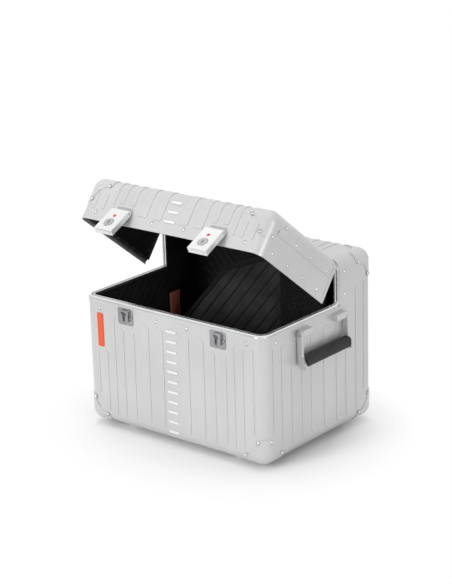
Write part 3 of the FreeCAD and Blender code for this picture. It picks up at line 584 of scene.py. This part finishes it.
SIDES = ((-1, "left"), (1, "right"))
body_ys = rounded_line(PAD_LOW, TOWER_PAD, True, False) + rounded_line(TOWER_PAD, PAD_REAR, False, True)[1:]
body_zs = rounded_line(PAD_LOW, RIM_PAD, True, False) + rounded_line(RIM_PAD, PAD_TOP, False, True)[1:]
for side, label in SIDES:
    obj = side_lining("lining_%s_quilt" % label, side, body_ys, body_zs,
                      ("front", "rear", "low", "top"), above_rim, "case_body", SIDE_QUILT)
    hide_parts("lining_%s" % label)
lid_ys = rounded_line(PAD_LOW, LID_PAD_REAR, True, False)
lid_zs = rounded_line(LID_PAD_LOW, PAD_TOP, False, True)
for side, label in SIDES:
    obj = side_lining("lid_lining_%s_quilt" % label, side, lid_ys, lid_zs,
                      ("front", "top"), nothing, "lid", LID_QUILT, with_lid)
    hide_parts("lid_lining_%s" % label)


def straight_points(a, b, out, wall):
    """Points of a flat wall from a up to b, without b."""
    n = max(2, int(round(math.hypot(b[0] - a[0], b[1] - a[1]) / STEP)))
    return [((a[0] + (b[0] - a[0]) * i / n, a[1] + (b[1] - a[1]) * i / n), out, wall) for i in range(n)]


def bend_point(centre, degrees):
    """Point of a bend, with its outward direction."""
    a = math.radians(degrees)
    out = (math.cos(a), math.sin(a))
    return (centre[0] + PAD_R * out[0], centre[1] + PAD_R * out[1]), out, "bend"


def path_points(start, corners, last):
    """Path in the y-z plane through right-angled bends: points, outward directions and walls."""
    points = []
    here = start
    for centre, from_deg, to_deg, out, wall in corners:
        points += straight_points(here, bend_point(centre, from_deg)[0], out, wall)
        turn = (to_deg - from_deg) / BEND_STEPS
        points += [bend_point(centre, from_deg + turn * i) for i in range(BEND_STEPS)]
        here = bend_point(centre, to_deg)[0]
    return points + straight_points(here, *last) + [last]


def wrap_lining(name, start, corners, last, body, mat, carry=None):
    """Quilted padding bent round the front, floor, rear and top, as one sewn panel."""
    xs = spread(-FLAT, FLAT, WRAP_STEP)
    points = []
    outs = []
    for (y, z), out, wall in path_points(start, corners, last):
        row = []
        for x in xs:
            h = quilt(x, z, WALL_PITCH, WRAP_SLOPE, 0.0) - PUFF
            if wall == "bend":
                h = -PUFF * BEND_RISE
            row.append((x, y - out[0] * h, z - out[1] * h))
        points.append(row)
        outs.append([(0.0, out[0], out[1])] * len(xs))
    verts, faces = solid_grid(points, outs, PAD_SKIN)
    if carry is not None:
        verts = [carry(v) for v in verts]
    obj = make_object(name, verts, faces, mat, body)
    return obj


low_front = ((EDGE_R, EDGE_R), 180.0, 270.0, (-1.0, 0.0), "front")
low_rear = ((CASE_D - EDGE_R, EDGE_R), 270.0, 360.0, (0.0, -1.0), "floor")
top_rear = ((CASE_D - EDGE_R, CASE_H - EDGE_R), 0.0, 90.0, (1.0, 0.0), "rear")
wrap = wrap_lining("lining_wrap_quilt", (PAD_LOW, RIM_PAD), [low_front, low_rear, top_rear],
                   ((TOWER_PAD, PAD_TOP), (0.0, 1.0), "top"), "case_body", REAR_QUILT)
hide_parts("lining_wrap")
lid_front = ((EDGE_R, CASE_H - EDGE_R), 180.0, 90.0, (-1.0, 0.0), "front")
lid_wrap = wrap_lining("lid_lining_wrap_quilt", (PAD_LOW, LID_PAD_LOW), [lid_front],
                       ((LID_PAD_REAR, PAD_TOP), (0.0, 1.0), "top"), "lid", LID_WRAP_QUILT, with_lid)
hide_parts("lid_lining_wrap")

# Divider at the tower: quilted part, plain pocket and bound edge
DIV_Y = 200.0
DIV_T = 6.0
DIV_SPLIT = 80.0
DIV_EDGE = [(-178.0, 110.0), (-147.0, 144.0), (-39.0, 261.0), (42.0, 292.0), (174.0, 292.0)]
DIV_STEP = 2.0
DIV_ROWS = 110
DIV_UNDER_TAPE = 0.4
DIV_FACE_IN = 1.3
DIV_SKIN = 4.4
DIV_PUFF = 0.9
DIV_QUILT_SHARE = 0.8
DIV_QUILT_SINK = 0.3
DIV_EASE = 3.0


def edge_height(x):
    """Height of the divider's upper edge at x."""
    for (xa, za), (xb, zb) in zip(DIV_EDGE, DIV_EDGE[1:]):
        if x <= xb:
            return za + (zb - za) * (x - xa) / (xb - xa)
    return DIV_EDGE[-1][1]


def divider_part(name, x0, x1, has_seams, mat):
    """Padded board: swollen between its seams, thinner towards every edge."""
    xs = spread(x0, x1, DIV_STEP)
    front = []
    for i in range(DIV_ROWS + 1):
        row = []
        for x in xs:
            top = edge_height(x) - DIV_UNDER_TAPE
            z = PAD_LOW + (top - PAD_LOW) * i / DIV_ROWS
            edge = min(x - x0, x1 - x, z - PAD_LOW, top - z)
            h = DIV_PUFF
            if has_seams:
                h += quilt(x, z, DIV_PITCH, DIV_SLOPE, 0.0) * DIV_QUILT_SHARE - DIV_QUILT_SINK
            h *= 1.0 - math.exp(-max(0.0, edge) / DIV_EASE)
            row.append((x, DIV_Y + DIV_FACE_IN - h, z))
        front.append(row)
    outs = [[(0.0, 1.0, 0.0)] * len(xs) for _ in front]
    verts, faces = solid_grid(front, outs, DIV_SKIN)
    obj = make_object(name, verts, turned(faces), mat, "case_body")
    return obj


panel = divider_part("divider_quilt", DIV_EDGE[0][0], DIV_SPLIT, True, DIV_QUILT)
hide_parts("divider_panel")
pocket = divider_part("divider_pocket_velour", DIV_SPLIT, DIV_EDGE[-1][0], False, VELOUR)
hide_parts("divider_pocket")

TAPE_POINTS = 24
TAPE_IN = 3.6
TAPE_ACROSS = 4.6
TAPE_THROUGH = 3.9
TAPE_ROUND = 0.6
TAPE_EASE = 10.0
EASE_STEPS = 8


def swept(name, path, profile, mat, body):
    """Profile carried along a path in the x-z plane; its points are (across the edge, through the board)."""
    verts = []
    n = len(profile)
    for i, (x, z) in enumerate(path):
        a = path[max(0, i - 1)]
        b = path[min(len(path) - 1, i + 1)]
        length = math.hypot(b[0] - a[0], b[1] - a[1])
        ux, uz = (b[0] - a[0]) / length, (b[1] - a[1]) / length
        for across, through in profile:
            verts.append((x - uz * across, DIV_Y + DIV_T / 2 + through, z + ux * across))
    faces = []
    for i in range(len(path) - 1):
        for k in range(n):
            m = (k + 1) % n
            faces.append((i * n + k, i * n + m, (i + 1) * n + m, (i + 1) * n + k))
    faces.append(tuple(range(n)))
    faces.append(tuple(reversed(range((len(path) - 1) * n, len(path) * n))))
    return make_object(name, verts, faces, mat, body)


def smooth_path(points, cut):
    """Polyline with its corners eased over a length."""
    out = [points[0]]
    for a, b, c in zip(points, points[1:], points[2:]):
        la = math.hypot(b[0] - a[0], b[1] - a[1])
        lc = math.hypot(c[0] - b[0], c[1] - b[1])
        p = (b[0] + (a[0] - b[0]) * cut / la, b[1] + (a[1] - b[1]) * cut / la)
        q = (b[0] + (c[0] - b[0]) * cut / lc, b[1] + (c[1] - b[1]) * cut / lc)
        for i in range(EASE_STEPS + 1):
            t = i / EASE_STEPS
            out.append(tuple((1 - t) ** 2 * p[k] + 2 * t * (1 - t) * b[k] + t * t * q[k] for k in range(2)))
    out.append(points[-1])
    return out


def tape_profile():
    """Section of the binding tape: a rounded box round the divider's edge."""
    profile = []
    for k in range(TAPE_POINTS):
        a = 2 * math.pi * k / TAPE_POINTS
        across, through = (math.copysign(abs(v) ** TAPE_ROUND, v) for v in (math.cos(a), math.sin(a)))
        profile.append((-TAPE_IN + TAPE_ACROSS * across, TAPE_THROUGH * through))
    return profile


binding = swept("divider_edge_tape", smooth_path(DIV_EDGE, TAPE_EASE), tape_profile(), TAPE, "case_body")
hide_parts("divider_binding")

# Leather tab that hangs from a webbing loop on the left wall
WALL_X = -HALF + PAD_IN
TO_WALL = (-1.0, 0.0, 0.0)
FROM_WALL = (1.0, 0.0, 0.0)
TAB_Y = 229.0
TAB_HALF = 14.0
TAB_LOW = 70.0
TAB_TOP = 178.0
TAB_X = WALL_X + 3.4
TAB_SKIN = 1.8
TAB_ROUND = 8.0
TAB_ROWS = 60
TAB_COLS = 16
TAB_STAND = 0.5
TAB_BOW = 0.7
TAB_BOWS = 1.5
TAB_CROWN = 0.5
TAB_CROWN_EASE = 6.0


def tab_strap():
    """Hanging strap: rounded lower corners, slightly bowed and crowned."""
    points = []
    for i in range(TAB_ROWS + 1):
        t = i / TAB_ROWS
        z = TAB_LOW + (TAB_TOP - TAB_LOW) * t
        left = TAB_ROUND - (z - TAB_LOW)
        half = TAB_HALF
        if left > 0.0:
            half = TAB_HALF - TAB_ROUND + math.sqrt(max(0.0, TAB_ROUND ** 2 - left ** 2))
        row = []
        for j in range(TAB_COLS + 1):
            s = -1.0 + 2.0 * j / TAB_COLS
            crown = TAB_CROWN * min(1.0, (1.0 - abs(s)) * TAB_CROWN_EASE)
            x = TAB_X + TAB_STAND + TAB_BOW * math.sin(math.pi * t * TAB_BOWS) + crown
            row.append((x, TAB_Y + s * half, z))
        points.append(row)
    outs = [[TO_WALL] * (TAB_COLS + 1) for _ in points]
    verts, faces = solid_grid(points, outs, TAB_SKIN)
    return make_object("leather_tab_strap", verts, faces, LEATHER, "case_body")


tab = tab_strap()
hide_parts("leather_tab")

STITCH_LONG = 3.2
STITCH_PITCH = 4.4
STITCH_R = 0.5
STITCH_THREAD_R = 0.35
STITCH_BURIED = 0.6
STITCH_ARCH = ((-0.5, 0.0), (-0.3, 0.8), (0.0, 1.0), (0.3, 0.8), (0.5, 0.0))
STITCH_RING = 6
STITCH_X = TAB_X + 1.1
STITCH_SIDE = 11.0
STITCH_LOW = 82.0
STITCH_HIGH = 174.0


def stitch_row(name, lines, out, mat, body):
    """Rows of short raised thread stitches along straight lines."""
    verts = []
    faces = []
    n = STITCH_RING
    out = Vector(out)
    for a, b in lines:
        d = Vector(b) - Vector(a)
        u = d.normalized()
        w = u.cross(out)
        for k in range(int(d.length / STITCH_PITCH)):
            centre = Vector(a) + u * ((k + 0.5) * STITCH_PITCH)
            base = len(verts)
            for along, lift in STITCH_ARCH:
                for m in range(n):
                    angle = 2 * math.pi * m / n
                    height = STITCH_R * (lift - STITCH_BURIED) + STITCH_THREAD_R * math.sin(angle)
                    p = centre + u * along * STITCH_LONG + out * height
                    verts.append(tuple(p + w * STITCH_THREAD_R * math.cos(angle)))
            last = base + (len(STITCH_ARCH) - 1) * n
            for ring in range(base, last, n):
                for m in range(n):
                    after = (m + 1) % n
                    faces.append((ring + m, ring + after, ring + n + after, ring + n + m))
            faces.append(tuple(base + m for m in reversed(range(n))))
            faces.append(tuple(last + m for m in range(n)))
    return make_object(name, verts, faces, mat, body)


stitch_lines = []
for side, _ in SIDES:
    stitch_y = TAB_Y + side * STITCH_SIDE
    stitch_lines.append(((STITCH_X, stitch_y, STITCH_LOW), (STITCH_X, stitch_y, STITCH_HIGH)))
stitch_row("leather_tab_stitching", stitch_lines, FROM_WALL, THREAD, "case_body")

WEB_ROWS = 14
WEB_COLS = 6
WEB_LAP = 2.0
WEB_LONG = 24.0
WEB_APART = 9.0
WEB_CLOSING = 6.6
WEB_WIDE = 7.0
WEB_THICK = 1.0
WEB_STAND = 1.2
WEB_BOW = 0.64
WEB_OVER = 0.5


def webbing_loop():
    """Flat webbing folded over itself: two bands that meet at the top and part towards the tab."""
    verts = []
    faces = []
    for side, over in ((-1, 0.0), (1, WEB_OVER)):
        points = []
        for i in range(WEB_ROWS + 1):
            t = i / WEB_ROWS
            x = WALL_X + WEB_STAND + WEB_BOW * math.sin(math.pi * t) + over
            z = TAB_TOP - WEB_LAP + WEB_LONG * t
            mid = TAB_Y + side * (WEB_APART - WEB_CLOSING * t)
            points.append([(x, mid + (j / WEB_COLS - 0.5) * WEB_WIDE, z) for j in range(WEB_COLS + 1)])
        outs = [[TO_WALL] * (WEB_COLS + 1) for _ in points]
        band_verts, band_faces = solid_grid(points, outs, WEB_THICK)
        base = len(verts)
        verts += band_verts
        faces += [tuple(base + k for k in f) for f in band_faces]
    return make_object("tab_webbing_loop", verts, faces, TAPE, "case_body")


loop = webbing_loop()
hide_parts("tab_webbing")

# Floor, background and light
WHITE = (1.0, 1.0, 1.0, 1.0)
FLOOR_R = 1.5
FLOOR_SIDES = 96
FLOOR_DARK = (0.915, 0.915, 0.915)
FLOOR_LIGHT = (0.93, 0.93, 0.93)
SHADOW_X = 0.21
SHADOW_Y = 0.19
WHITE_FROM = 1.7
SKY_LOW = 0.42
SKY_HIGH = 0.74
SKY_RIGHT = 0.5


def background_rays(tree):
    """1 for rays that show the background: seen by the camera, in metal or through glass."""
    path = tree.nodes.new("ShaderNodeLightPath")
    shown = path.outputs["Is Camera Ray"]
    for ray in ("Is Glossy Ray", "Is Transmission Ray"):
        shown = compute(tree, "MAXIMUM", shown, path.outputs[ray])
    return shown


def mix_shaders(tree, fac, a, b, end):
    """Ends a material or world with a shader that passes from a to b."""
    mix = tree.nodes.new("ShaderNodeMixShader")
    tree.links.new(fac, mix.inputs["Fac"])
    tree.links.new(a.outputs[0], mix.inputs[1])
    tree.links.new(b.outputs[0], mix.inputs[2])
    tree.links.new(mix.outputs["Shader"], end.inputs["Surface"])


def floor_material():
    """Pale floor that keeps the shadow near the case and passes into the white background away from it."""
    mat, tree, bsdf, coord = new_material("pale_floor")
    shade = mix_colour(tree, noise(tree, coord, scale=2.0), FLOOR_DARK, FLOOR_LIGHT)
    tree.links.new(shade, bsdf.inputs["Base Color"])
    set_inputs(bsdf, {"Roughness": 0.9, "Specular IOR Level": 0.1})
    oval = tree.nodes.new("ShaderNodeMapping")
    oval.inputs["Scale"].default_value = (1 / SHADOW_X, 1 / SHADOW_Y, 0.0)
    tree.links.new(coord, oval.inputs["Vector"])
    away = tree.nodes.new("ShaderNodeVectorMath")
    away.operation = "LENGTH"
    tree.links.new(oval.outputs["Vector"], away.inputs[0])
    fade = ramp(tree, away.outputs["Value"], 1.0, WHITE_FROM, 0.0, 1.0)
    white = tree.nodes.new("ShaderNodeEmission")
    set_inputs(white, {"Color": WHITE, "Strength": 1.0})
    fac = compute(tree, "MULTIPLY", fade, background_rays(tree))
    mix_shaders(tree, fac, bsdf, white, node_of(tree, "OUTPUT_MATERIAL"))
    return mat


def round_floor():
    """Flat disc under the case."""
    angles = [2 * math.pi * k / FLOOR_SIDES for k in range(FLOOR_SIDES)]
    rim = [(FLOOR_R * math.cos(a), FLOOR_R * math.sin(a), 0.0) for a in angles]
    mesh = bpy.data.meshes.new("floor")
    mesh.from_pydata(rim, [], [tuple(range(FLOOR_SIDES))])
    mesh.materials.append(floor_material())
    obj = bpy.data.objects.new("floor", mesh)
    bpy.context.scene.collection.objects.link(obj)
    return obj


def studio_world():
    """White background, and soft light that is stronger from above and from the left."""
    world = bpy.data.worlds.new("studio")
    world.use_nodes = True
    tree = world.node_tree
    tree.nodes.clear()
    end = tree.nodes.new("ShaderNodeOutputWorld")
    seen = tree.nodes.new("ShaderNodeBackground")
    set_inputs(seen, {"Color": WHITE, "Strength": 1.0})
    light = tree.nodes.new("ShaderNodeBackground")
    light.inputs["Color"].default_value = WHITE
    way = tree.nodes.new("ShaderNodeSeparateXYZ")
    tree.links.new(tree.nodes.new("ShaderNodeTexCoord").outputs["Generated"], way.inputs["Vector"])
    rise = ramp(tree, way.outputs["Z"], 0.0, 0.8, SKY_LOW, SKY_HIGH)
    side = ramp(tree, way.outputs["X"], -0.6, 0.8, 1.0, SKY_RIGHT)
    tree.links.new(compute(tree, "MULTIPLY", rise, side), light.inputs["Strength"])
    mix_shaders(tree, background_rays(tree), light, seen, end)
    return world


def soft_light(name, at, aim, size, power, in_reflections=True):
    """Round area lamp, turned towards a point."""
    data = bpy.data.lights.new(name, "AREA")
    data.shape = "DISK"
    data.size = size
    data.energy = power
    lamp = bpy.data.objects.new(name, data)
    bpy.context.scene.collection.objects.link(lamp)
    direction = Vector(aim) - Vector(at)
    lamp.matrix_world = Matrix.Translation(at) @ direction.to_track_quat("-Z", "Y").to_matrix().to_4x4()
    lamp.visible_glossy = in_reflections


floor = round_floor()
bpy.context.scene.world = studio_world()
soft_light("front_soft", at=(-0.7, -2.95, 1.3), aim=(0.0, 0.05, 0.2), size=1.1, power=42.0)
soft_light("top_soft", at=(-0.2, 0.2, 2.6), aim=(0.0, 0.0, 0.0), size=2.2, power=29.0, in_reflections=False)
soft_light("right_fill", at=(2.3, -0.75, 0.75), aim=(0.1, 0.0, 0.15), size=1.0, power=13.0)

# Camera at the photograph's viewing angle, from a fit to rivets, marks, rims and outlines
IMAGE_W = 452.0
IMAGE_H = 584.0
SENSOR = 36.0
FOCAL_PX = 1825.55
CAM_AZ = math.radians(39.804)
CAM_EL = math.radians(18.164)
CAM_ROLL = math.radians(-1.689)
CAM_DIST = 3222.74
CAM_SIDE = -3.15
CAM_RISE = 78.83
CAM_AIM = Vector((0.0, 150.0, 150.0))
CAM_FAR = 50.0
back = Vector((math.sin(CAM_AZ) * math.cos(CAM_EL), -math.cos(CAM_AZ) * math.cos(CAM_EL), math.sin(CAM_EL)))
level = Vector((math.cos(CAM_AZ), math.sin(CAM_AZ), 0.0))
upright = back.cross(level)
right = level * math.cos(CAM_ROLL) + upright * math.sin(CAM_ROLL)
up = upright * math.cos(CAM_ROLL) - level * math.sin(CAM_ROLL)
eye = CAM_AIM + back * CAM_DIST + right * CAM_SIDE + up * CAM_RISE
cam_data = bpy.data.cameras.new("camera")
cam_data.sensor_width = SENSOR
cam_data.sensor_fit = "AUTO"
cam_data.lens = FOCAL_PX * SENSOR / max(IMAGE_W, IMAGE_H)
cam_data.clip_end = CAM_FAR
camera = bpy.data.objects.new("camera", cam_data)
bpy.context.scene.collection.objects.link(camera)
turn = Matrix((right, up, back)).transposed().to_4x4()
camera.matrix_world = Matrix.Translation(place(eye)) @ turn
bpy.context.scene.camera = camera
bpy.context.scene.view_settings.view_transform = "Standard"

bpy.context.view_layer.update()
